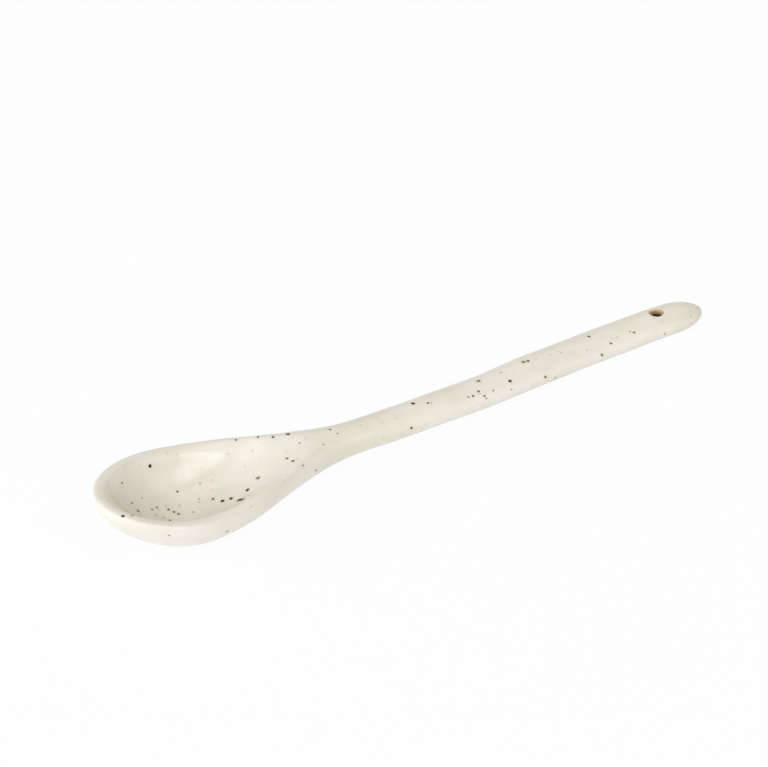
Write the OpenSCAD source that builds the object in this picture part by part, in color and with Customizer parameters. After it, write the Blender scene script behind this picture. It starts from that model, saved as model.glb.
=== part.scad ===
// Teaspoon of speckled stoneware: one hand-shaped, fired clay body under a thin coat of glaze.
// X runs from the bowl's tip to the handle's end, Y across the spoon, Z up from the table it lies on.
// The spoon's skin is a loft over ribs. In plan each rib runs from the spine out to the outline: the
// ribs fan out round the bowl's front and the handle's end, and stand square to the spine between.
// Along each rib the skin goes from the spine over the top, round the edge and back underneath.

/* [Overall] */
// Length of the spoon over its glaze
spoon_length = 145; // [125:1:170]

/* [Bowl] */
// Distance from the tip to the widest place
bowl_reach = 18.7; // [15:0.1:24]
// Width at the widest place
bowl_width = 27.3; // [24:0.1:36]
// Height of the edge at the tip
tip_height = 13.1; // [10:0.1:16]
// Distance that the tip leans to the -Y side of the middle line
tip_lean = 0.3; // [0:0.1:1]
// Height of the edge at the widest place
bowl_height = 9.5; // [7.5:0.1:12]
// Length of level keel behind the widest place
keel_level = 6.8; // [3:0.1:9]
// Thickness of the floor at the widest place
floor_thickness = 2.6; // [2:0.1:4]
// Distance from the tip to where the hollow runs out on the neck
hollow_length = 50; // [44:0.5:58]
// Fullness of the hollow: higher is flatter in the middle and steeper at the wall
hollow_fullness = 2.2; // [2:0.1:4]

/* [Rim] */
// Width of the rim in plan
rim_width = 2.8; // [2:0.1:4]
// Rise of the rim's top above its edge
rim_crown = 0.7; // [0.6:0.1:1.6]
// Width of the rounded outer shoulder
rim_round = 1.1; // [1:0.1:2.2]
// Softness of the inner shoulder
rim_blend = 0.8; // [0.6:0.1:2]

/* [Neck] */
// Distance from the tip to the narrowest place
neck_reach = 59.4; // [52:0.1:68]
// Width at the narrowest place
neck_width = 6.9; // [6:0.1:12]
// Height of the edge at the neck
neck_height = 5.2; // [4.2:0.1:7]
// Rise of the top above the edge at the neck
neck_crown = 2.5; // [1.8:0.1:4]
// Softness of the hollow's inner shoulder where it fades out towards the neck
neck_blend = 3.0; // [1.5:0.1:4]
// Gap between the neck and the table
neck_clear = 1.0; // [0.6:0.1:2]

/* [Handle] */
// Width at the middle
handle_width = 8.9; // [7:0.1:13]
// Height of the edge at the middle
handle_height = 3.0; // [2.4:0.1:5]
// Gap between the middle and the table
handle_clear = 0.45; // [0.3:0.05:1.2]
// Width where the rounded end starts
end_width = 8.5; // [8:0.1:13]
// Height of the edge at the end
end_height = 2.0; // [1.8:0.1:4]
// Rise of the top above the edge at the end
end_crown = 1.75; // [1.5:0.05:4]
// Length of the rounded end
end_cap = 6.9; // [4:0.1:8]
// Distance that the end leans to the -Y side of its spine
end_lean = 0.5; // [0:0.1:1]

/* [Hanging hole] */
// Diameter of the hole through the clay
hole_diameter = 2.4; // [2:0.1:3.4]
// Distance from the hole's middle to the handle's end
hole_inset = 9.9; // [8.5:0.1:16]
// Distance of the hole's middle from the spoon's middle line
hole_side = 1.2; // [0:0.1:1.5]
// Width of the bare clay ring round the hole
bare_lip = 0.25; // [0.2:0.05:0.6]

/* [Glaze and feet] */
// Thickness of the glaze
glaze_thickness = 0.3; // [0.15:0.05:0.5]
// Clay rubbed off underneath to make the resting flats
foot_cut = 0.3; // [0.15:0.05:0.5]
// Height above the table up to which the glaze is wiped off
foot_wipe = 0.05; // [0.02:0.01:0.15]

/* [Hand shaping] */
// Height of the slow waves that the maker's fingers leave in the edge
hand_wave = 0.07; // [0:0.01:0.2]
// Length of those waves
wave_length = 28.6; // [18:0.2:50]
// Sideways bend of the spine behind the bowl
spine_sway = 0.45; // [0:0.05:0.8]
// Length of one full bend to both sides
sway_length = 72.6; // [60:0.2:120]
// Distance from the tip to where the bend starts
sway_start = 27; // [20:0.5:40]

/* [Hidden] */
clay_colour = "#c8a980";
glaze_colour = "#efe9dd";

// Ribs on one half of the outline, and levels along a rib
front_ribs = 12;
side_ribs = 34;
end_ribs = 7;
top_levels = 13;
under_levels = 9;
half_ribs = front_ribs + side_ribs + end_ribs;
rib_count = 2 * half_ribs - 2;
loop_count = top_levels + under_levels - 1;
rib_crowding = 1.3;
round_facets = 64;

// Places along the spoon, and how far the skin would reach below the table before the feet are cut
cap_x = spoon_length - end_cap;
middle_x = (neck_reach + cap_x) / 2;
hole_x = spoon_length - hole_inset;
sink = glaze_thickness + foot_cut;
hollow_depth = bowl_height + rim_crown - floor_thickness;
least_mouth = 0.15;
cut_margin = 10;

// Heights of the edge and of the keel along the spoon
edge_line = [
    [0, tip_height],
    [bowl_reach, bowl_height],
    [neck_reach, neck_height],
    [middle_x, handle_height],
    [cap_x, end_height],
    [spoon_length, end_height]
];
keel_line = [
    [bowl_reach, -sink],
    [bowl_reach + keel_level, -sink],
    [neck_reach, neck_clear],
    [middle_x, handle_clear],
    [cap_x, -sink],
    [spoon_length, -sink]
];

function unit(t) = max(0, min(1, t));
function mix(a, b, t) = a + (b - a) * t;
function ease(t) = let (u = unit(t)) u * u * (3 - 2 * u);

// The lower of two heights, with their meeting rounded over the given softness
function soft_min(a, b, softness) =
    let (t = unit(0.5 + 0.5 * (b - a) / softness))
    mix(b, a, t) - softness * t * (1 - t);

// Smooth curve through a list of [x, height] knots
function knot_slope(knots, i) =
    let (a = knots[max(i - 1, 0)], b = knots[min(i + 1, len(knots) - 1)])
    (b[1] - a[1]) / (b[0] - a[0]);
function knot_span(knots, x, i = 0) =
    i >= len(knots) - 2 || x < knots[i + 1][0] ? i : knot_span(knots, x, i + 1);
function curve(knots, x) =
    let (
        i = knot_span(knots, x),
        run = knots[i + 1][0] - knots[i][0],
        t = unit((x - knots[i][0]) / run),
        rise = mix(knots[i][1], knots[i + 1][1], ease(t)),
        leave = knot_slope(knots, i) * t * (1 - t) * (1 - t),
        arrive = knot_slope(knots, i + 1) * t * t * (1 - t)
    )
    rise + run * (leave - arrive);

// Slow waves of the hand-shaped edge, a smooth function of the place in plan
function wave(x, y) =
    -hand_wave * (sin(360 * x / wave_length + 9 * y) + 0.6 * cos(580 * x / wave_length - 12 * y));

// How far the spine lies to one side of the spoon's middle line
function sway(x) =
    let (t = max(0, x - sway_start) / sway_length)
    spine_sway * ease(8 * t) * sin(360 * t);
function spine_point(x) = [x, sway(x)];

// How far a place on the spine has gone from bowl to neck, and from neck to end
function neck_share(x) = ease((x - bowl_reach) / (neck_reach - bowl_reach));
function end_share(x) = (x - neck_reach) / (cap_x - neck_reach);

// Half the spoon's width behind the bowl's widest place: a taper to the neck, then a gently swelling handle
function handle_half(x) =
    let (t = unit(end_share(x)), near = (1 - t) * (1 - 2 * t), far = t * (2 * t - 1))
    (neck_width * near + 4 * handle_width * t * (1 - t) + end_width * far) / 2;
function half_width(x, side) =
    x < neck_reach
    ? mix(bowl_width, neck_width, neck_share(x)) / 2
    : handle_half(x) + ease((x - neck_reach) / wave_length) * wave(x, side * end_width);

// Rib k counts round the outline: from the tip along the +Y side to the end, and back along the -Y side
function half_index(k) = k < half_ribs ? k : rib_count - k;
function rib_side(k) = k < half_ribs ? 1 : -1;
function spine_index(k) = max(0, min(side_ribs - 1, half_index(k) - front_ribs));
function spine_x(i) = mix(bowl_reach, cap_x, pow(i / (side_ribs - 1), rib_crowding));
function front_point(angle, side) =
    [bowl_reach * (1 - cos(angle)), side * bowl_width / 2 * sin(angle) - tip_lean * pow(cos(angle), 2)];
function side_point(x, side) = spine_point(x) + [0, side * half_width(x, side)];
function end_point(angle, side) =
    let (across = side * half_width(cap_x, side) * cos(angle) - end_lean * pow(sin(angle), 2))
    spine_point(cap_x) + [end_cap * sin(angle), across];
function outline_point(k) =
    let (i = half_index(k), side = rib_side(k), past = i - front_ribs - side_ribs + 1)
    i < front_ribs ? front_point(90 * i / front_ribs, side)
    : past < 1 ? side_point(spine_x(i - front_ribs), side)
    : end_point(90 * past / end_ribs, side);

// Height of the skin at share q of the way from the spine at x to the edge, above the plan point
function edge_height(point) = curve(edge_line, point[0]) + wave(point[0], point[1]);
function crown(x) = mix(rim_crown, mix(neck_crown, end_crown, ease(end_share(x))), neck_share(x));
function hollow(x) =
    let (t = unit((x - bowl_reach) / (hollow_length - bowl_reach)))
    hollow_depth * pow(1 - t * t, 3);
function top_height(point, x, q, rib) =
    let (
        crest = edge_height(point) + crown(x),
        shoulder = min(rib, mix(rim_round, rib, pow(neck_share(x), 2))),
        drop = 1 - unit((1 - q) * rib / shoulder),
        dome = crest - crown(x) * (1 - sqrt(1 - drop * drop)),
        mouth = max(least_mouth, 1 - rim_width / rib),
        floor_height = crest - hollow(x) * (1 - pow(q / mouth, hollow_fullness)),
        softness = min(hollow(x), mix(rim_blend, neck_blend, neck_share(x)))
    )
    softness > 0 ? soft_min(dome, floor_height, softness) : dome;
function under_height(point, x, q) =
    edge_height(point) - (curve(edge_line, x) - curve(keel_line, x)) * sqrt(1 - q * q);

// Loops of skin points, from the one next to the spine on top, out to the edge and back underneath
function level(j) =
    j < top_levels ? sin(90 * (j + 1) / top_levels) : sin(90 * (loop_count - j) / under_levels);
function skin_point(j, k) =
    let (
        x = spine_x(spine_index(k)),
        out = outline_point(k) - spine_point(x),
        q = level(j),
        point = spine_point(x) + q * out
    )
    concat(point, j < top_levels ? top_height(point, x, q, norm(out)) : under_height(point, x, q));
loops = [for (j = [0:loop_count - 1]) [for (k = [0:rib_count - 1]) skin_point(j, k)]];
top_spine = [
    for (i = [0:side_ribs - 1])
        let (x = spine_x(i), point = spine_point(x))
        concat(point, top_height(point, x, 0, half_width(x, 1)))
];
under_spine = [
    for (i = [0:side_ribs - 1])
        let (x = spine_x(i), point = spine_point(x))
        concat(point, under_height(point, x, 0))
];

// Outward directions of the skin, from each point's neighbours
function outward(along, across) = let (n = cross(along, across)) n / norm(n);
function loop_outward(j, k) =
    let (
        before = j > 0 ? loops[j - 1][k] : top_spine[spine_index(k)],
        after = j < loop_count - 1 ? loops[j + 1][k] : under_spine[spine_index(k)],
        next = loops[j][(k + 1) % rib_count],
        last = loops[j][(k + rib_count - 1) % rib_count]
    )
    outward(next - last, after - before);
function spine_outward(spine, loop, i) =
    let (
        next = i < side_ribs - 1 ? spine[i + 1] : loop[half_ribs - 1],
        last = i > 0 ? spine[i - 1] : loop[0],
        across = loop[front_ribs + i] - loop[rib_count - front_ribs - i]
    )
    outward(next - last, across);

// The skin, moved inwards by an inset: all loops, then the top spine, then the spine underneath
function skin(inset) = concat(
    [for (j = [0:loop_count - 1], k = [0:rib_count - 1]) loops[j][k] - inset * loop_outward(j, k)],
    [for (i = [0:side_ribs - 1]) top_spine[i] - inset * spine_outward(top_spine, loops[0], i)],
    [
        for (i = [0:side_ribs - 1])
            under_spine[i] + inset * spine_outward(under_spine, loops[loop_count - 1], i)
    ]
);

// Triangles between neighbouring ribs: j runs from the top spine, -1, to the spine underneath, loop_count
function point_index(j, k) =
    j < 0 ? loop_count * rib_count + spine_index(k % rib_count)
    : j < loop_count ? j * rib_count + k % rib_count
    : loop_count * rib_count + side_ribs + spine_index(k % rib_count);
function patch(a, b, c, d) =
    a == b ? [[a, d, c]]
    : c == d ? [[a, d, b]]
    : [[a, d, c], [a, c, b]];
faces = [
    for (j = [-1:loop_count - 1], k = [0:rib_count - 1])
        each patch(
            point_index(j, k),
            point_index(j, k + 1),
            point_index(j + 1, k + 1),
            point_index(j + 1, k)
        )
];

module spoon_form(inset) {
    polyhedron(points = skin(inset), faces = faces);
}

module below(height) {
    translate([-cut_margin, -bowl_width, height - cut_margin])
        cube([spoon_length + 2 * cut_margin, 2 * bowl_width, cut_margin]);
}

module hanging_hole(diameter) {
    translate([hole_x, hole_side, -cut_margin])
        cylinder(d = diameter, h = 3 * cut_margin, $fn = round_facets);
}

module centred() {
    translate([-spoon_length / 2, 0, 0])
        children();
}

// The clay: bowl, neck and handle in one, with bare resting flats and the hole's true bore
module stoneware_body() {
    color(clay_colour)
        centred()
            difference() {
                spoon_form(glaze_thickness);
                below(0);
                hanging_hole(hole_diameter);
            }
}

// The glaze: a coat on all the clay, open round the hole and wiped off at the resting flats
module glaze_coat() {
    color(glaze_colour)
        centred()
            difference() {
                spoon_form(0);
                spoon_form(glaze_thickness);
                below(foot_wipe);
                hanging_hole(hole_diameter + 2 * bare_lip);
            }
}

stoneware_body();
glaze_coat();
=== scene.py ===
"""Looks of the speckled stoneware teaspoon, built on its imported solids.

Places on the spoon are in millimetres, as in its source: x from the bowl's tip along the spoon, y across it
and z up from the table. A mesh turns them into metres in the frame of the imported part.
"""
import math

import bmesh
import bpy
import numpy as np
from mathutils import Matrix, Vector
from mathutils.bvhtree import BVHTree


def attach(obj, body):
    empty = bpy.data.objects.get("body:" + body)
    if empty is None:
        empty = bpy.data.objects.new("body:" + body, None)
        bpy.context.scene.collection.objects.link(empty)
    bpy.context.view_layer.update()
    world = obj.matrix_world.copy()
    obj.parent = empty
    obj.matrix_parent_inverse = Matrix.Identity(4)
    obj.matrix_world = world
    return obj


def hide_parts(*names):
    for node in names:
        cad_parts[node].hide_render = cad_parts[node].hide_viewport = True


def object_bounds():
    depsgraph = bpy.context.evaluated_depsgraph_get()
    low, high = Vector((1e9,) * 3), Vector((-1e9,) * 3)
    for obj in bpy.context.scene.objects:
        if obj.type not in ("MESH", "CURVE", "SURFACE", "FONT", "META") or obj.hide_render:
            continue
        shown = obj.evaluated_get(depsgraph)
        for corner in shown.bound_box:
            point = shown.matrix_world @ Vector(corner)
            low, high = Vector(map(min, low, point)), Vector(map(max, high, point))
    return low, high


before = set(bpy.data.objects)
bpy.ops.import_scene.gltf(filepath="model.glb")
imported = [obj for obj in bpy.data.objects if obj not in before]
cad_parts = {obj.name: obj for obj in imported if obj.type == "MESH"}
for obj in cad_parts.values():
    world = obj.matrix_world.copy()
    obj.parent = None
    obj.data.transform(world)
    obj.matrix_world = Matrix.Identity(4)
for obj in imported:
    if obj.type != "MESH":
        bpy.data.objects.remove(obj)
cad_low, cad_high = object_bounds()

MM = 0.001
TINY = 1e-9
SPOON_LENGTH = (cad_high.x - cad_low.x) / MM

# Bowl and rim
BOWL_REACH = 18.7
BOWL_WIDTH = 27.3
TIP_HEIGHT = 13.1
TIP_LEAN = 0.3
BOWL_HEIGHT = 9.5
KEEL_LEVEL = 6.8
FLOOR_THICKNESS = 2.6
HOLLOW_LENGTH = 50
HOLLOW_FULLNESS = 2.2
HOLLOW_RUNOUT = 3
RIM_WIDTH = 2.8
RIM_CROWN = 0.7
RIM_ROUND = 1.1
RIM_BLEND = 1.2

# Neck and handle
NECK_REACH = 59.4
NECK_WIDTH = 6.9
NECK_HEIGHT = 5.2
NECK_CROWN = 2.5
NECK_BLEND = 3.0
NECK_CLEAR = 1.0
HANDLE_WIDTH = 8.9
HANDLE_HEIGHT = 3.0
HANDLE_CLEAR = 0.45
END_WIDTH = 8.5
END_HEIGHT = 2.0
END_CROWN = 1.75
END_CAP = 6.9
END_LEAN = 0.5

# How full the dressed top is between its edges, and its share of the solid's crown. The share rises to 1
# at the handle's end
TOP_FULLNESS = 2.3
CROWN_SHARE = 0.9

# Waves that hand work leaves: their height and length, then for each of two waves its turn in degrees over
# that length and its skew in degrees per mm across, and the share of the second one
HAND_WAVE = 0.07
WAVE_LENGTH = 28.6
WAVE_TURNS = (360, 580)
WAVE_SKEWS = (9, -12)
SECOND_WAVE_SHARE = 0.6

# Sideways bend of the spine, and how fast it sets in
SPINE_SWAY = 0.45
SWAY_LENGTH = 72.6
SWAY_START = 27
SWAY_ONSET = 8

# Hole, glaze and feet
HOLE_RADIUS = 1.2
HOLE_INSET = 9.9
HOLE_SIDE = 1.2
BARE_LIP = 0.25
GLAZE_THICKNESS = 0.3
FOOT_CUT = 0.3
FOOT_WIPE = 0.05

CAP_X = SPOON_LENGTH - END_CAP
MIDDLE_X = (NECK_REACH + CAP_X) / 2
HOLE_X = SPOON_LENGTH - HOLE_INSET
SINK = GLAZE_THICKNESS + FOOT_CUT
HOLLOW_DEPTH = BOWL_HEIGHT + RIM_CROWN - FLOOR_THICKNESS
LEAST_MOUTH = 0.15

EDGE_LINE = [
    (0, TIP_HEIGHT),
    (BOWL_REACH, BOWL_HEIGHT),
    (NECK_REACH, NECK_HEIGHT),
    (MIDDLE_X, HANDLE_HEIGHT),
    (CAP_X, END_HEIGHT),
    (SPOON_LENGTH, END_HEIGHT),
]
KEEL_LINE = [
    (BOWL_REACH, -SINK),
    (BOWL_REACH + KEEL_LEVEL, -SINK),
    (NECK_REACH, NECK_CLEAR),
    (MIDDLE_X, HANDLE_CLEAR),
    (CAP_X, -SINK),
    (SPOON_LENGTH, -SINK),
]

# Fineness of the modelled skin, and the soft edges of clay and glaze at the hole
FRONT_RIBS = 36
SIDE_RIBS = 150
RIB_CROWDING = 1.15
HOLE_RIBS = 20
CAP_RIBS = 5
END_RIBS = 18
TOP_LEVELS = 44
UNDER_LEVELS = 28
LIP_STEPS = 6
WALL_STEPS = 8
CLAY_ROUND = 0.22
GLAZE_ROUND = 0.3

# Camera, found by fitting the spoon's outline to the photograph's, with its clipping in metres
IMAGE_SIZE = (768, 767)
SENSOR_MM = 36
CAMERA_AZIMUTH = -33.92
CAMERA_ELEVATION = 36.95
CAMERA_DISTANCE = 900
CAMERA_TARGET = (66.11, 0, 15.06)
CAMERA_CLIP = (0.01, 20)
PIXELS_PER_MM = 5.019
FOCAL_PIXELS = PIXELS_PER_MM * CAMERA_DISTANCE

# Specks that the photograph shows: radius in mm, darkness, warmth, and the pixels where such specks are
PHOTO_SPECKS = [
    (0.58, 1.0, 0.2, [(239.5, 500), (242.5, 499.5)]),
    (0.45, 1.0, 0.1, [(288, 434), (413, 403.5), (247.5, 490)]),
    (0.41, 1.0, 0.1, [(222.5, 501), (231, 498.5)]),
    (0.38, 0.9, 0.9, [(258, 478), (523.5, 362), (478.5, 381), (138, 511)]),
    (0.37, 1.0, 0.1, [(150, 466), (123, 516), (510, 381)]),
    (0.34, 0.95, 0.2, [(589, 336.5), (293, 461), (528, 361)]),
    (0.29, 0.95, 0.2, [(227, 531.5), (478.5, 391.5), (411.5, 428), (428, 403), (273, 437), (170, 520.5)]),
    (0.27, 0.9, 1.0, [
        (213, 499), (545.5, 377), (287, 458.5), (602, 355), (178.5, 514), (174, 512), (168.5, 509.5),
    ]),
    (0.26, 0.95, 0.2, [
        (611, 343.5), (634, 332.5), (330, 429.5), (473, 396), (258, 437), (132, 503), (316, 470.5),
    ]),
    (0.23, 0.9, 0.3, [
        (236, 440), (152, 509.5), (157, 507.5), (177.5, 491.5), (484.5, 396), (132, 515.5), (122, 483),
    ]),
    (0.20, 0.85, 0.3, [
        (337.5, 433.5), (468.5, 397), (169, 535.5), (303, 465.5), (299.5, 443), (493.5, 390.5),
    ]),
    (0.18, 0.8, 0.3, [(431.5, 403), (486.5, 398.5), (630, 331.5), (323, 444.5)]),
    (0.26, 0.5, 0.8, [
        (118, 502), (501, 372.5), (555.5, 378), (665, 334), (193.5, 512), (156, 515), (163.5, 517.5),
    ]),
    (0.20, 0.55, 0.5, [(108.5, 501), (199, 499), (200, 483.5), (142, 498), (511.5, 389.5), (561, 352.5)]),
    (0.16, 0.5, 0.3, [(360.5, 425), (617, 337.5), (587, 350), (654, 318.5), (691, 316.5), (252.5, 451)]),
    (0.17, 0.4, 0.3, [(377.5, 418), (346.5, 428), (396.5, 418), (305.5, 438.5), (286, 452.5), (278, 478)]),
    (0.22, 0.3, 0.9, [
        (118, 494), (128, 505), (165.5, 506), (179.5, 505.5), (199, 502), (297.5, 459), (536, 359.5),
    ]),
    (0.20, 0.2, 0.8, [
        (123, 496.5), (139.5, 465), (102.5, 473.5), (167, 453.5), (177.5, 454.5), (228, 454),
    ]),
    (0.22, 0.2, 0.7, [
        (212.5, 480), (212.5, 490), (245, 466.5), (251.5, 506.5), (550, 354.5), (662, 321), (383, 437.5),
    ]),
]

# Specks that the camera doesn't see are random: how many are tried, and the ranges of their looks. The
# radius of the dark ones has a usual value, a spread and limits
SPECK_SEED = 11
HIDDEN_SPECKS = 170
HIDDEN_RADIUS = 0.2
HIDDEN_SPREAD = 0.35
HIDDEN_LIMITS = (0.12, 0.46)
HIDDEN_DARKNESS = (0.7, 1)
HIDDEN_WARMTH = (0, 1)
FAINT_SPECKS = 200
FAINT_RADIUS = (0.14, 0.24)
FAINT_DARKNESS = (0.15, 0.5)
FAINT_WARMTH = (0.3, 1)

# A ray towards the camera starts this far off the glaze, in metres
RAY_LIFT = 0.00002

# How a speck is drawn: core and halo fade out between these shares of its radius, and a halo's strength
# depends on the warmth by this share. Noise shifts the edge by some of the ragged width in mm
SPECK_SLOTS = ("speck_one", "speck_two")
CORE_FADE = (0.8, 1.15)
HALO_FADE = (0.9, 2.6)
HALO_SHARE = 0.55
HALO_WARMTH = 0.8
SPECK_RAGGED = 0.12
RAGGED_SCALE = 5200
RAGGED_DETAIL = 1
NOISE_MIDDLE = (0.5, 0.5, 0.5)

# Colours, as linear red, green and blue
GLAZE_CREAM = (0.81, 0.735, 0.582)
GLAZE_PALE = (0.85, 0.788, 0.662)
GLAZE_GREY = (0.66, 0.62, 0.53)
FRECKLE_TAN = (0.42, 0.34, 0.21)
HALO_YELLOW = (0.60, 0.49, 0.18)
THIN_TAN = (0.62, 0.47, 0.29)
IRON_BLACK = (0.02, 0.012, 0.004)
IRON_BROWN = (0.095, 0.052, 0.016)
IRON_SHEEN = (0.12, 0.09, 0.06)
CLAY_TAN = (0.66, 0.49, 0.28)
CLAY_BROWN = (0.46, 0.31, 0.17)
# Painted shade: the dark brown that the bore's clay is given where shade falls inside the hole
BORE_PAINTED_SHADE = (0.10, 0.062, 0.017)
FLOOR_PALE = (0.9, 0.9, 0.9)
AMBIENT_COLOUR = (1, 0.98, 0.95)
WHITE = (1, 1, 1)

# Patterns: scale per metre and detail of the noise, the noise values between which they fade, and the first
# and last value that they give
GLAZE_TONE = (70, 2, 0.35, 0.65, 0, 1)
GLAZE_CLOUD = (420, 3, 0.45, 0.75, 0, 0.16)
GLAZE_GLOSS = (160, 3, 0.3, 0.7, 0.17, 0.26)
CLAY_TONE = (900, 4, 0.3, 0.7, 0, 1)
CLAY_MATT = (2500, 2, 0.3, 0.7, 0.75, 0.92)

# Freckles: scale per metre, the largest radius as a share of a cell, and strength. Then the power that makes
# large ones rare, the least radius, and the shares of the radius between which they fade
GLAZE_FRECKLES = (620, 0.13, 0.4)
CLAY_GRAINS = (1500, 0.3, 0.8)
FRECKLE_RARITY = 3
FRECKLE_LEAST = 0.001
FRECKLE_FADE = (0.6, 1.3)

# Relief: scale per metre and detail of its noise, and depth in mm
SWELL_NOISE = (110, 1)
HAND_SWELL = 0.22
PEEL_NOISE = (900, 2)
PEEL_DEPTH = 0.008
GRIT_NOISE = (6000, 3)
GRIT_DEPTH = 0.05
PIT_DEPTH = 0.03

# Width in mm and strength of the glaze's thin edges, how it bends light, and how much rougher the specks are
THIN_EDGE = 0.35
HOLE_THINNING = 0.8
FOOT_EDGE = 0.25
FOOT_THINNING = 0.6
GLAZE_IOR = 1.55
SPECK_MATT = 0.25

# Middle of the hole's height in mm, and how far from it the shade painted into the bore fades from dark brown
# to tan
BORE_MIDDLE = 1.8
BORE_SHADE_FADE = (0.5, 1.2)

# Floor: its reach and level in metres, a little below the feet, and how white the camera sees it
FLOOR_REACH = 3
FLOOR_LEVEL = -0.00003
FLOOR_WHITE_SHARE = 0.94

# Light: the even light from all round, and the lamps, each by its azimuth and elevation in degrees, its size
# in metres, its power and its tint. The glaze mirrors only some of them
AMBIENT = 0.05
LAMP_DISTANCE = 2
WARM = (1, 0.965, 0.89)
PLAIN = (0.99, 1, 1.02)
COOL = (0.93, 1, 1.15)
LAMPS = [
    ("front", -100, 20, (2.2, 1.2), 12.8, PLAIN),
    ("main", -80, 49, (1.0, 0.8), 8.5, COOL),
    ("right", -35, 40, (1.0, 0.8), 2.6, PLAIN),
    ("left", 180, 22, (4.2, 1.6), 43, COOL),
    ("left_high", 180, 52, (1.2, 1.2), 4.4, COOL),
    ("back", 130, 20, (2.0, 1.2), 9.2, WARM),
    ("back_right", 54, 39, (1.2, 1.0), 2.8, WARM),
    ("top", 10, 75, (1.4, 1.4), 8.4, WARM),
]
MIRRORED_LAMPS = ("main", "top", "right", "back_right")


def unit(t):
    return np.clip(t, 0, 1)


def mix(a, b, t):
    return a + (b - a) * t


def ease(t):
    u = unit(t)
    return u * u * (3 - 2 * u)


def soft_min(a, b, softness):
    """The lower of two heights, with their meeting rounded."""
    t = unit(0.5 + 0.5 * (b - a) / softness)
    return mix(b, a, t) - softness * t * (1 - t)


def curve(knots, x):
    """A smooth curve through (x, height) knots."""
    xs, zs = np.array(knots, float).T
    last = len(xs) - 1
    before = np.maximum(np.arange(last + 1) - 1, 0)
    after = np.minimum(np.arange(last + 1) + 1, last)
    slope = (zs[after] - zs[before]) / (xs[after] - xs[before])
    i = np.clip(np.searchsorted(xs, x, side="right") - 1, 0, last - 1)
    run = xs[i + 1] - xs[i]
    t = unit((x - xs[i]) / run)
    leave = slope[i] * t * (1 - t) ** 2
    arrive = slope[i + 1] * t * t * (1 - t)
    return mix(zs[i], zs[i + 1], ease(t)) + run * (leave - arrive)


# Form of the spoon


def wave(x, y):
    """Slow waves that the maker's fingers leave in the edge."""
    first = np.sin(np.radians(WAVE_TURNS[0] * x / WAVE_LENGTH + WAVE_SKEWS[0] * y))
    second = np.cos(np.radians(WAVE_TURNS[1] * x / WAVE_LENGTH + WAVE_SKEWS[1] * y))
    return -HAND_WAVE * (first + SECOND_WAVE_SHARE * second)


def sway(x):
    """Slow sideways bend of the spine behind the bowl."""
    t = np.maximum(0, x - SWAY_START) / SWAY_LENGTH
    return SPINE_SWAY * ease(SWAY_ONSET * t) * np.sin(2 * np.pi * t)


def neck_share(x):
    return ease((x - BOWL_REACH) / (NECK_REACH - BOWL_REACH))


def end_share(x):
    return (x - NECK_REACH) / (CAP_X - NECK_REACH)


def half_width(x, side):
    """Half the spoon's width behind the bowl's widest place."""
    t = unit(end_share(x))
    swell = NECK_WIDTH * (1 - t) * (1 - 2 * t) + 4 * HANDLE_WIDTH * t * (1 - t) + END_WIDTH * t * (2 * t - 1)
    handle = swell / 2 + ease((x - NECK_REACH) / WAVE_LENGTH) * wave(x, side * END_WIDTH)
    taper = mix(BOWL_WIDTH, NECK_WIDTH, neck_share(x)) / 2
    return np.where(x < NECK_REACH, taper, handle)


def crown(x):
    """How far the top's crest is above its edges."""
    to_end = ease(end_share(x))
    full = mix(RIM_CROWN, mix(NECK_CROWN, END_CROWN, to_end), neck_share(x))
    return mix(CROWN_SHARE, 1, to_end) * full


def hollow(x):
    """Depth of the hollow along the spine."""
    t = unit((x - BOWL_REACH) / (HOLLOW_LENGTH - BOWL_REACH))
    return HOLLOW_DEPTH * (1 - t * t) ** HOLLOW_RUNOUT


def edge_height(plan):
    return curve(EDGE_LINE, plan[..., 0]) + wave(plan[..., 0], plan[..., 1])


def top_height(plan, x, q, rib):
    """Height of the top at share q of the way from the spine at x to the edge."""
    crest = edge_height(plan) + crown(x)
    shoulder = np.minimum(rib, mix(RIM_ROUND, rib, neck_share(x) ** 2))
    drop = 1 - unit((1 - q) * rib / shoulder)
    dome = crest - crown(x) * (1 - (1 - drop ** TOP_FULLNESS) ** (1 / TOP_FULLNESS))
    mouth = np.maximum(LEAST_MOUTH, 1 - RIM_WIDTH / rib)
    floor = crest - hollow(x) * (1 - (q / mouth) ** HOLLOW_FULLNESS)
    softness = np.minimum(hollow(x), mix(RIM_BLEND, NECK_BLEND, neck_share(x)))
    return np.where(hollow(x) > 0, soft_min(dome, floor, np.maximum(softness, TINY)), dome)


def under_height(plan, x, q):
    depth = curve(EDGE_LINE, x) - curve(KEEL_LINE, x)
    return edge_height(plan) - depth * np.sqrt(np.maximum(0, 1 - q * q))


# Ribs and skin


def side_stations(hole_radius):
    """Places of the side ribs along the spine, crowded in the bowl and at the hole."""
    near, far = HOLE_X - hole_radius, HOLE_X + hole_radius
    bowl_to_hole = mix(BOWL_REACH, near, np.linspace(0, 1, SIDE_RIBS) ** RIB_CROWDING)
    across = HOLE_X - hole_radius * np.cos(np.linspace(0, np.pi, HOLE_RIBS + 1))
    rest = np.linspace(far, CAP_X, CAP_RIBS)
    return np.concatenate([bowl_to_hole[:-1], across, rest[1:]])


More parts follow.
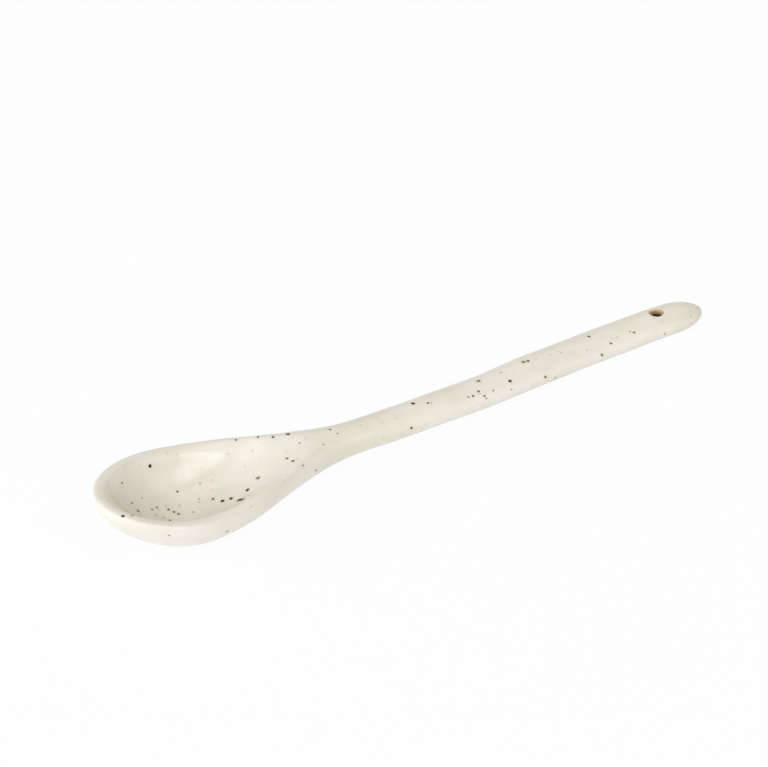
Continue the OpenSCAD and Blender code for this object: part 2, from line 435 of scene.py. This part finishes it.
def half_ribs(side, hole_radius):
    """Outline ends, roots and spine places of the ribs on one side, and which of them the hole cuts."""
    front = np.linspace(0, np.pi / 2, FRONT_RIBS, endpoint=False)
    xs = side_stations(hole_radius)
    end = np.linspace(0, np.pi / 2, END_RIBS + 1)[1:]
    end_half = half_width(np.array(CAP_X), side)
    outline_x = np.concatenate([BOWL_REACH * (1 - np.cos(front)), xs, CAP_X + END_CAP * np.sin(end)])
    outline_y = np.concatenate([BOWL_WIDTH / 2 * np.sin(front), half_width(xs, side), end_half * np.cos(end)])
    spine_x = np.concatenate([np.full(len(front), BOWL_REACH), xs, np.full(len(end), CAP_X)])
    spine = np.stack([spine_x, sway(spine_x)], axis=1)
    lean = np.concatenate([TIP_LEAN * np.cos(front) ** 2, np.zeros(len(xs)), END_LEAN * np.sin(end) ** 2])
    outline = np.stack([outline_x, spine[:, 1] + side * outline_y - lean], axis=1)
    reach = hole_radius ** 2 - (spine_x - HOLE_X) ** 2
    at_hole = np.stack([spine_x, HOLE_SIDE + side * np.sqrt(np.maximum(0, reach))], axis=1)
    root = np.where((reach > -TINY)[:, None], at_hole, spine)
    return outline, root, spine, reach > TINY


def skin_points(outline, root, spine):
    """Points of the skin level by level, from the roots over the top to the edge and back underneath."""
    rib = np.linalg.norm(outline - spine, axis=1)
    top_share = np.sin(np.linspace(0, np.pi / 2, TOP_LEVELS + 1))
    under_share = np.sin(np.linspace(np.pi / 2, 0, UNDER_LEVELS + 1))[1:]
    rows = []
    for t, on_top in [(t, True) for t in top_share] + [(t, False) for t in under_share]:
        plan = root + t * (outline - root)
        q = unit(np.linalg.norm(plan - spine, axis=1) / rib)
        z = top_height(plan, spine[:, 0], q, rib) if on_top else under_height(plan, spine[:, 0], q)
        rows.append(np.column_stack([plan, z]))
    return np.array(rows)


def skin_ids(levels, opened, half):
    """Numbers of the points, the same one for all ribs that share a root."""
    count = len(opened)
    owner = np.arange(count)
    owner[:FRONT_RIBS] = FRONT_RIBS
    owner[half - END_RIBS:half] = half - END_RIBS - 1
    mirrored = np.arange(half, count)
    owner[half:] = np.where(opened[half:], mirrored, owner[count - mirrored])
    ids = np.arange(levels * count).reshape(levels, count)
    ids[0] = ids[0, owner]
    ids[-1] = ids[-1, owner]
    return ids


def skin_faces(ids):
    """Faces between the levels, with three corners where two ribs share a root."""
    nxt = np.roll(ids, -1, axis=1)
    quads = np.stack([ids[:-1], nxt[:-1], nxt[1:], ids[1:]], axis=-1).reshape(-1, 4)
    faces = [[v for i, v in enumerate(q) if v != q[i - 1]] for q in quads.tolist()]
    return [f for f in faces if len(f) > 2]


def hole_ring(opened, half):
    """The ribs round the hole, in order."""
    first, last = np.flatnonzero(opened[:half])[[0, -1]] + (-1, 1)
    return np.concatenate([np.arange(first, last + 1), len(opened) - np.arange(last - 1, first, -1)])


def skin(hole_radius, inset):
    """Points, faces and the two rings at the hole of the spoon's skin, moved inwards by an inset."""
    sides = [half_ribs(1, hole_radius), half_ribs(-1, hole_radius)]
    outline, root, spine, opened = (np.concatenate([a, b[-2:0:-1]]) for a, b in zip(*sides))
    half = len(sides[0][2])
    points = skin_points(outline, root, spine)
    ids = skin_ids(len(points), opened, half)
    faces = skin_faces(ids)
    flat = points.reshape(-1, 3)
    flat = flat - inset * vertex_normals(flat, faces)
    ring = hole_ring(opened, half)
    return flat, faces, ids[0, ring], ids[-1, ring]


def metres(points):
    """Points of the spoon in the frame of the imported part."""
    return (points - np.array([SPOON_LENGTH / 2, 0, 0])) * MM


def vertex_normals(points, faces):
    normals = np.zeros_like(points)
    for size in (3, 4):
        f = np.array([face for face in faces if len(face) == size])
        across = np.cross(points[f[:, 2]] - points[f[:, 0]], points[f[:, -1]] - points[f[:, 1]])
        for corner in range(size):
            np.add.at(normals, f[:, corner], across)
    return normals / np.maximum(np.linalg.norm(normals, axis=1, keepdims=True), TINY)


# Pieces


def on_circle(ring, radius, drop):
    """The ring moved on to a circle round the hole's axis, and down by a drop."""
    axis = np.array([HOLE_X, HOLE_SIDE])
    out = ring[:, :2] - axis
    out = axis + radius * out / np.linalg.norm(out, axis=1, keepdims=True)
    return np.column_stack([out, ring[:, 2] - drop])


def rounded(start, end):
    """Rings of a quarter round: level at the start, upright at the end."""
    turn = np.linspace(0, np.pi / 2, LIP_STEPS + 1)[1:-1]
    level, upright = np.sin(turn), 1 - np.cos(turn)
    return [
        np.column_stack([mix(start[:, :2], end[:, :2], a), mix(start[:, 2], end[:, 2], b)])
        for a, b in zip(level, upright)
    ]


def straight(start, end):
    return [mix(start, end, t) for t in np.linspace(0, 1, WALL_STEPS + 1)[1:-1]]


class Shape:
    """Points and faces of a piece, gathered part by part."""

    def __init__(self):
        self.points = np.zeros((0, 3))
        self.faces = []

    def add(self, points, faces):
        base = len(self.points)
        self.points = np.concatenate([self.points, points])
        self.faces += [[v + base for v in f] for f in faces]
        return base

    def bridge(self, start, rings, end):
        """Faces from ring to ring: start and end are indices that exist, rings are new points."""
        chain = [np.asarray(start)]
        for ring in rings:
            chain.append(self.add(ring, []) + np.arange(len(ring)))
        chain.append(np.asarray(end))
        for a, b in zip(chain[:-1], chain[1:]):
            quads = np.stack([a, b, np.roll(b, -1), np.roll(a, -1)], axis=-1)
            self.faces += quads.tolist()

    def piece(self, name, foot):
        """The object, cut level at its feet."""
        used = np.unique(np.concatenate([np.array(f) for f in self.faces]))
        place = np.full(len(self.points), -1)
        place[used] = np.arange(len(used))
        mesh = bpy.data.meshes.new(name)
        mesh.from_pydata(metres(self.points[used]).tolist(), [], [place[f].tolist() for f in self.faces])
        work = bmesh.new()
        work.from_mesh(mesh)
        bmesh.ops.recalc_face_normals(work, faces=work.faces)
        for face in work.faces:
            face.smooth = True
        cut_level(work, foot * MM)
        work.to_mesh(mesh)
        work.free()
        return linked(name, mesh)


def linked(name, data):
    """A new object in the scene."""
    obj = bpy.data.objects.new(name, data)
    bpy.context.scene.collection.objects.link(obj)
    return obj


def cut_level(work, height):
    """Takes away what is below a height and closes the cut with flat, sharp-edged faces."""
    whole = work.verts[:] + work.edges[:] + work.faces[:]
    cut = bmesh.ops.bisect_plane(
        work, geom=whole, dist=TINY, plane_co=(0, 0, height), plane_no=(0, 0, 1), clear_inner=True
    )
    edges = [e for e in cut["geom_cut"] if isinstance(e, bmesh.types.BMEdge)]
    filled = bmesh.ops.triangle_fill(work, edges=edges, use_beauty=True, normal=(0, 0, -1))
    for item in filled["geom"]:
        if isinstance(item, bmesh.types.BMFace):
            item.smooth = False
    for edge in edges:
        edge.smooth = False
    bmesh.ops.recalc_face_normals(work, faces=work.faces)


def clay_piece():
    shape = Shape()
    points, faces, top, under = skin(HOLE_RADIUS + CLAY_ROUND, GLAZE_THICKNESS)
    shape.add(points, faces)
    upper = on_circle(points[top], HOLE_RADIUS, CLAY_ROUND)
    lower = on_circle(points[under], HOLE_RADIUS, -CLAY_ROUND)
    rings = rounded(points[top], upper) + [upper] + straight(upper, lower)
    rings += [lower] + rounded(points[under], lower)[::-1]
    shape.bridge(top, rings, under)
    return shape.piece("clay_body", 0)


def glaze_piece():
    shape = Shape()
    outer, outer_faces, top, under = skin(HOLE_RADIUS + BARE_LIP + GLAZE_ROUND, 0)
    inner, inner_faces, inner_top, inner_under = skin(HOLE_RADIUS + BARE_LIP, GLAZE_THICKNESS)
    shape.add(outer, outer_faces)
    base = shape.add(inner, inner_faces)
    for a, b in ((top, inner_top), (under, inner_under)):
        shape.bridge(a, rounded(outer[a], inner[b]), b + base)
    return shape.piece("glaze_skin", FOOT_WIPE)


# Camera


def view_axes():
    a, e = math.radians(CAMERA_AZIMUTH), math.radians(CAMERA_ELEVATION)
    back = Vector((math.sin(a) * math.cos(e), -math.cos(a) * math.cos(e), math.sin(e)))
    right = Vector((math.cos(a), math.sin(a), 0))
    return right, back.cross(right), back


def make_camera():
    right, up, back = view_axes()
    target = (Vector(CAMERA_TARGET) - Vector((SPOON_LENGTH / 2, 0, 0))) * MM
    data = bpy.data.cameras.new("camera")
    data.sensor_width = SENSOR_MM
    data.lens = FOCAL_PIXELS * SENSOR_MM / IMAGE_SIZE[0]
    data.clip_start, data.clip_end = CAMERA_CLIP
    camera = linked("camera", data)
    turn = Matrix((right, up, back)).transposed().to_4x4()
    camera.matrix_world = Matrix.Translation(target + back * CAMERA_DISTANCE * MM) @ turn
    bpy.context.scene.camera = camera
    return camera


# Iron specks. The ones that catch the eye are where the photograph shows them, as pixels of its frame


def on_glaze(pixel, eye, skin_tree):
    """The place on the glaze that the camera sees at a pixel, or None."""
    right, up, back = view_axes()
    x, y = pixel[0] - IMAGE_SIZE[0] / 2, pixel[1] - IMAGE_SIZE[1] / 2
    return skin_tree.ray_cast(eye, (right * x - up * y - back * FOCAL_PIXELS).normalized())[0]


def scattered(rng, count):
    """Random places all over the glaze."""
    points, faces, _, _ = skin(HOLE_RADIUS + BARE_LIP + GLAZE_ROUND, 0)
    quads = np.array([f for f in faces if len(f) == 4])
    corner = metres(points)[quads]
    area = np.linalg.norm(np.cross(corner[:, 2] - corner[:, 0], corner[:, 3] - corner[:, 1]), axis=1)
    picks = rng.choice(len(quads), size=count, p=area / area.sum())
    places = [Vector(place) for place in corner[picks].mean(axis=1)]
    return [place for place in places if place.z > FOOT_WIPE * MM]


def is_seen(place, eye, skin_tree):
    """Whether the camera sees a place on the glaze."""
    way = (eye - place).normalized()
    return skin_tree.ray_cast(place + way * RAY_LIFT, way)[0] is None


def make_specks(glaze, eye):
    """Place, radius in mm, darkness and warmth of every speck."""
    rng = np.random.default_rng(SPECK_SEED)
    mesh = glaze.data
    skin_tree = BVHTree.FromPolygons([v.co for v in mesh.vertices], [p.vertices[:] for p in mesh.polygons])
    specks = []
    for radius, darkness, warmth, pixels in PHOTO_SPECKS:
        for pixel in pixels:
            place = on_glaze(pixel, eye, skin_tree)
            if place is not None:
                specks.append((*place, radius, darkness, warmth))
    for place in scattered(rng, HIDDEN_SPECKS):
        if not is_seen(place, eye, skin_tree):
            radius = float(np.clip(rng.lognormal(math.log(HIDDEN_RADIUS), HIDDEN_SPREAD), *HIDDEN_LIMITS))
            specks.append((*place, radius, rng.uniform(*HIDDEN_DARKNESS), rng.uniform(*HIDDEN_WARMTH)))
    for place in scattered(rng, FAINT_SPECKS):
        if not is_seen(place, eye, skin_tree):
            look = [rng.uniform(*span) for span in (FAINT_RADIUS, FAINT_DARKNESS, FAINT_WARMTH)]
            specks.append((*place, *look))
    return np.array(specks)


def store_specks(glaze, specks):
    """Gives every face of the glaze the two specks nearest to it, for the shader to draw."""
    mesh = glaze.data
    centres = np.array([p.center for p in mesh.polygons])
    gap = np.linalg.norm(centres[:, None] - specks[None, :, :3], axis=2) - specks[None, :, 3] * MM
    nearest = np.argsort(gap, axis=1)[:, :len(SPECK_SLOTS)]
    for slot, name in enumerate(SPECK_SLOTS):
        chosen = specks[nearest[:, slot]]
        for part, values in (("place", chosen[:, :3]), ("look", chosen[:, 3:])):
            layer = mesh.attributes.new(f"{name}_{part}", "FLOAT_VECTOR", "FACE")
            layer.data.foreach_set("vector", np.ascontiguousarray(values, dtype=np.float32).ravel())


# Shader nodes


def feed(tree, socket, value):
    """Links another node's output to a socket, or sets the socket's value."""
    if isinstance(value, bpy.types.NodeSocket):
        tree.links.new(value, socket)
    else:
        socket.default_value = value


def node(tree, kind, inputs=(), **settings):
    """A new node: inputs are values or other nodes' outputs."""
    made = tree.nodes.new(kind)
    for name, value in settings.items():
        setattr(made, name, value)
    for socket, value in dict(inputs).items():
        feed(tree, made.inputs[socket], value)
    return made


def calc(tree, operation, a, b):
    return node(tree, "ShaderNodeMath", {0: a, 1: b}, operation=operation).outputs[0]


def vector_calc(tree, operation, a, b):
    return node(tree, "ShaderNodeVectorMath", {0: a, 1: b}, operation=operation).outputs[0]


def distance(tree, a, b):
    return node(tree, "ShaderNodeVectorMath", {0: a, 1: b}, operation="DISTANCE").outputs["Value"]


def fade(tree, value, start, end, first=1.0, last=0.0):
    """Goes smoothly from first to last while the value goes from start to end."""
    inputs = {"Value": value, "From Min": start, "From Max": end, "To Min": first, "To Max": last}
    return node(tree, "ShaderNodeMapRange", inputs, interpolation_type="SMOOTHSTEP").outputs["Result"]


def blend(tree, share, a, b):
    """The colour that is a at share 0 and b at share 1."""
    made = node(tree, "ShaderNodeMix", data_type="RGBA")
    sockets = {s.name: s for s in made.inputs if s.enabled}
    feed(tree, sockets["Factor"], share)
    for name, colour in (("A", a), ("B", b)):
        plain = isinstance(colour, tuple)
        feed(tree, sockets[name], (*colour, 1) if plain else colour)
    return next(s for s in made.outputs if s.enabled)


def noise(tree, place, scale, detail):
    inputs = {"Vector": place, "Scale": scale, "Detail": detail}
    return node(tree, "ShaderNodeTexNoise", inputs).outputs["Fac"]


def pattern(tree, place, scale, detail, start, end, first, last):
    """Uneven values between first and last, from noise."""
    return fade(tree, noise(tree, place, scale, detail), start, end, first, last)


def freckles(tree, place, scale, reach, strength):
    """Many faint dots of uneven size, one at most in each cell."""
    cell = node(tree, "ShaderNodeTexVoronoi", {"Vector": place, "Scale": scale})
    size = node(tree, "ShaderNodeSeparateColor", {0: cell.outputs["Color"]}).outputs[0]
    radius = calc(tree, "MULTIPLY", calc(tree, "POWER", size, FRECKLE_RARITY), reach)
    share = calc(tree, "DIVIDE", cell.outputs["Distance"], calc(tree, "ADD", radius, FRECKLE_LEAST))
    return calc(tree, "MULTIPLY", fade(tree, share, *FRECKLE_FADE), strength)


def above_table(tree, place):
    return node(tree, "ShaderNodeSeparateXYZ", {0: place}).outputs["Z"]


def from_hole(tree, place):
    """Distance from the hole's axis."""
    axis = ((HOLE_X - SPOON_LENGTH / 2) * MM, HOLE_SIDE * MM, 0)
    return distance(tree, vector_calc(tree, "MULTIPLY", place, (1, 1, 0)), axis)


def emboss(tree, shader, relief):
    """Gives a surface its relief in mm."""
    bump = node(tree, "ShaderNodeBump", {"Strength": 1.0, "Distance": MM, "Height": relief})
    feed(tree, shader.inputs["Normal"], bump.outputs["Normal"])


def new_material(name):
    material = bpy.data.materials.new(name)
    material.use_nodes = True
    tree = material.node_tree
    place = node(tree, "ShaderNodeTexCoord").outputs["Object"]
    return material, tree, tree.nodes["Principled BSDF"], place


# Materials of the pieces


def ragged_place(tree, place):
    """The place, shifted a little by noise, so that specks get ragged edges."""
    inputs = {"Vector": place, "Scale": RAGGED_SCALE, "Detail": RAGGED_DETAIL}
    ragged = node(tree, "ShaderNodeTexNoise", inputs).outputs["Color"]
    shift = vector_calc(tree, "SUBTRACT", ragged, NOISE_MIDDLE)
    shift = vector_calc(tree, "MULTIPLY", shift, (SPECK_RAGGED * MM,) * 3)
    return vector_calc(tree, "ADD", place, shift)


def speck_mask(tree, here, name):
    """Dark core, tan halo and warmth of the speck that a face holds under a name."""
    centre = node(tree, "ShaderNodeAttribute", attribute_name=f"{name}_place").outputs["Vector"]
    look = node(tree, "ShaderNodeAttribute", attribute_name=f"{name}_look").outputs["Vector"]
    radius, darkness, warmth = node(tree, "ShaderNodeSeparateXYZ", {0: look}).outputs
    gap = calc(tree, "MULTIPLY", distance(tree, here, centre), 1 / MM)
    share = calc(tree, "DIVIDE", gap, radius)
    core = calc(tree, "MULTIPLY", fade(tree, share, *CORE_FADE), darkness)
    halo = calc(tree, "MULTIPLY", fade(tree, share, *HALO_FADE), darkness)
    strength = calc(tree, "ADD", calc(tree, "MULTIPLY", warmth, HALO_WARMTH), 1 - HALO_WARMTH)
    return core, calc(tree, "MULTIPLY", halo, strength), warmth


def speck_masks(tree, place):
    """Core and halo of the two nearest specks together, and the warmth of the nearest."""
    here = ragged_place(tree, place)
    cores, halos, warmths = zip(*[speck_mask(tree, here, name) for name in SPECK_SLOTS])
    return calc(tree, "MAXIMUM", *cores), calc(tree, "MAXIMUM", *halos), warmths[0]


def thin_edges(tree, place):
    """Where the glaze is thin: round the hole and at the wiped feet."""
    opening = (HOLE_RADIUS + BARE_LIP) * MM
    at_hole = fade(tree, from_hole(tree, place), opening, opening + THIN_EDGE * MM, HOLE_THINNING, 0)
    wiped, whole = FOOT_WIPE * MM, (FOOT_WIPE + FOOT_EDGE) * MM
    at_feet = fade(tree, above_table(tree, place), wiped, whole, FOOT_THINNING, 0)
    return calc(tree, "MAXIMUM", at_hole, at_feet)


def glaze_colour(tree, place, core, halo, warmth):
    colour = blend(tree, pattern(tree, place, *GLAZE_TONE), GLAZE_CREAM, GLAZE_PALE)
    colour = blend(tree, pattern(tree, place, *GLAZE_CLOUD), colour, GLAZE_GREY)
    colour = blend(tree, freckles(tree, place, *GLAZE_FRECKLES), colour, FRECKLE_TAN)
    colour = blend(tree, thin_edges(tree, place), colour, THIN_TAN)
    colour = blend(tree, calc(tree, "MULTIPLY", halo, HALO_SHARE), colour, HALO_YELLOW)
    return blend(tree, core, colour, blend(tree, warmth, IRON_BLACK, IRON_BROWN))


def glaze_relief(tree, place, core):
    """Slow swell and fine peel of the surface, with pits at the specks."""
    swell = calc(tree, "MULTIPLY", noise(tree, place, *SWELL_NOISE), HAND_SWELL)
    peel = calc(tree, "MULTIPLY", noise(tree, place, *PEEL_NOISE), PEEL_DEPTH)
    return calc(tree, "SUBTRACT", calc(tree, "ADD", swell, peel), calc(tree, "MULTIPLY", core, PIT_DEPTH))


def glaze_material():
    """Cream semi-gloss glaze, uneven in tone and surface, with iron specks and thin warm edges."""
    material, tree, shader, place = new_material("speckled_glaze")
    core, halo, warmth = speck_masks(tree, place)
    gloss = calc(tree, "ADD", pattern(tree, place, *GLAZE_GLOSS), calc(tree, "MULTIPLY", core, SPECK_MATT))
    feed(tree, shader.inputs["Base Color"], glaze_colour(tree, place, core, halo, warmth))
    feed(tree, shader.inputs["Specular Tint"], blend(tree, core, WHITE, IRON_SHEEN))
    feed(tree, shader.inputs["Roughness"], gloss)
    feed(tree, shader.inputs["IOR"], GLAZE_IOR)
    emboss(tree, shader, glaze_relief(tree, place, core))
    return material


def clay_colour(tree, place):
    """Tan clay with dark grains, and shade painted dark brown into the middle of the bore."""
    colour = blend(tree, pattern(tree, place, *CLAY_TONE), CLAY_TAN, CLAY_BROWN)
    colour = blend(tree, freckles(tree, place, *CLAY_GRAINS), colour, IRON_BLACK)
    # Painted shade: the bore's clay turns dark brown round the middle of its height, where shade falls in the
    # hole
    from_middle = calc(tree, "SUBTRACT", above_table(tree, place), BORE_MIDDLE * MM)
    from_middle = calc(tree, "ABSOLUTE", from_middle, 0)
    in_bore = calc(tree, "LESS_THAN", from_hole(tree, place), (HOLE_RADIUS + CLAY_ROUND) * MM)
    painted_bore_shade = calc(tree, "MULTIPLY", fade(tree, from_middle, BORE_SHADE_FADE[0] * MM, BORE_SHADE_FADE[1] * MM), in_bore)
    return blend(tree, painted_bore_shade, colour, BORE_PAINTED_SHADE)


def clay_material():
    """Bare fired clay: matt, gritty, tan with dark iron grains."""
    material, tree, shader, place = new_material("bare_clay")
    feed(tree, shader.inputs["Base Color"], clay_colour(tree, place))
    feed(tree, shader.inputs["Roughness"], pattern(tree, place, *CLAY_MATT))
    emboss(tree, shader, calc(tree, "MULTIPLY", noise(tree, place, *GRIT_NOISE), GRIT_DEPTH))
    return material


# Floor, world and lamps


def background_rays(tree):
    """1 for the rays that see the background, 0 for the rays that light the spoon."""
    path = node(tree, "ShaderNodeLightPath").outputs
    seen = calc(tree, "MAXIMUM", path["Is Camera Ray"], path["Is Glossy Ray"])
    return calc(tree, "MAXIMUM", seen, path["Is Transmission Ray"])


def shine(tree, kind, colour, strength):
    """The shader of something that gives light of its own."""
    return node(tree, kind, {"Color": (*colour, 1), "Strength": strength}).outputs[0]


def make_floor():
    mesh = bpy.data.meshes.new("floor")
    r, z = FLOOR_REACH, FLOOR_LEVEL
    mesh.from_pydata([(-r, -r, z), (r, -r, z), (r, r, z), (-r, r, z)], [], [(0, 1, 2, 3)])
    floor = linked("floor", mesh)
    material = bpy.data.materials.new("pale_floor")
    material.use_nodes = True
    tree = material.node_tree
    lit = node(tree, "ShaderNodeBsdfDiffuse", {"Color": (*FLOOR_PALE, 1)}).outputs[0]
    white = shine(tree, "ShaderNodeEmission", WHITE, 1.0)
    share = calc(tree, "MULTIPLY", background_rays(tree), FLOOR_WHITE_SHARE)
    both = node(tree, "ShaderNodeMixShader", {0: share, 1: lit, 2: white}).outputs[0]
    tree.links.new(both, tree.nodes["Material Output"].inputs["Surface"])
    mesh.materials.append(material)


def make_world():
    world = bpy.data.worlds.new("studio")
    bpy.context.scene.world = world
    world.use_nodes = True
    tree = world.node_tree
    tree.nodes.clear()
    dome = shine(tree, "ShaderNodeBackground", AMBIENT_COLOUR, AMBIENT)
    white = shine(tree, "ShaderNodeBackground", WHITE, 1.0)
    both = node(tree, "ShaderNodeMixShader", {0: background_rays(tree), 1: dome, 2: white}).outputs[0]
    out = node(tree, "ShaderNodeOutputWorld")
    tree.links.new(both, out.inputs["Surface"])


def make_lamp(name, azimuth, elevation, size, power, tint):
    a, e = math.radians(azimuth), math.radians(elevation)
    place = LAMP_DISTANCE * Vector((math.cos(a) * math.cos(e), math.sin(a) * math.cos(e), math.sin(e)))
    data = bpy.data.lights.new(name, "AREA")
    data.shape = "RECTANGLE"
    data.size, data.size_y = size
    data.energy = power
    data.color = tint
    lamp = linked(name, data)
    lamp.location = place
    lamp.rotation_mode = "QUATERNION"
    lamp.rotation_quaternion = (-place).to_track_quat("-Z", "Y")
    lamp.visible_glossy = name in MIRRORED_LAMPS


clay = clay_piece()
glaze = glaze_piece()
for piece, solid, slot in ((clay, "stoneware_body", "stoneware"), (glaze, "glaze_coat", "glaze")):
    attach(piece, "root")
    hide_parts(solid)

camera = make_camera()
store_specks(glaze, make_specks(glaze, camera.matrix_world.translation))
glaze.data.materials.append(glaze_material())
clay.data.materials.append(clay_material())
make_floor()
make_world()
for lamp in LAMPS:
    make_lamp(*lamp)
bpy.context.scene.view_settings.view_transform = "Standard"
